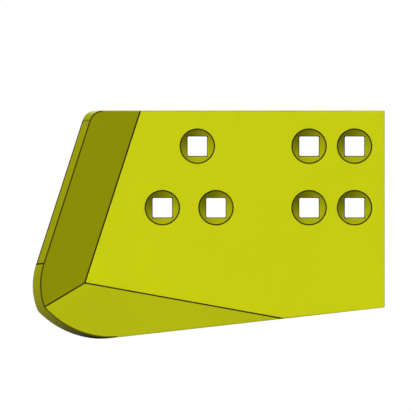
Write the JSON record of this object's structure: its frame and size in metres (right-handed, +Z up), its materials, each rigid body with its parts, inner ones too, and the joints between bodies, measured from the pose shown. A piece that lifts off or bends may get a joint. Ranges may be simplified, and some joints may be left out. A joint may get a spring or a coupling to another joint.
{
  "type": "dozer end bit",
  "caption": "Painted steel end bit for a dozer blade: a thick plate with seven countersunk square bolt holes, bent forward along its outer side and its lower corner.",
  "frame": {"origin": "middle of the inner four bolt holes, on the flat back face", "axes": "+X along the top edge towards the inner end, +Z up, +Y out of the back face towards the blade; the front faces -Y"},
  "size_m": [0.4726, 0.0569, 0.3064],
  "materials": {
    "yellow_paint": "satin paint over steel plate"
  },
  "bodies": {
    "root": {"end_bit": "yellow_paint"}
  },
  "joints": []
}
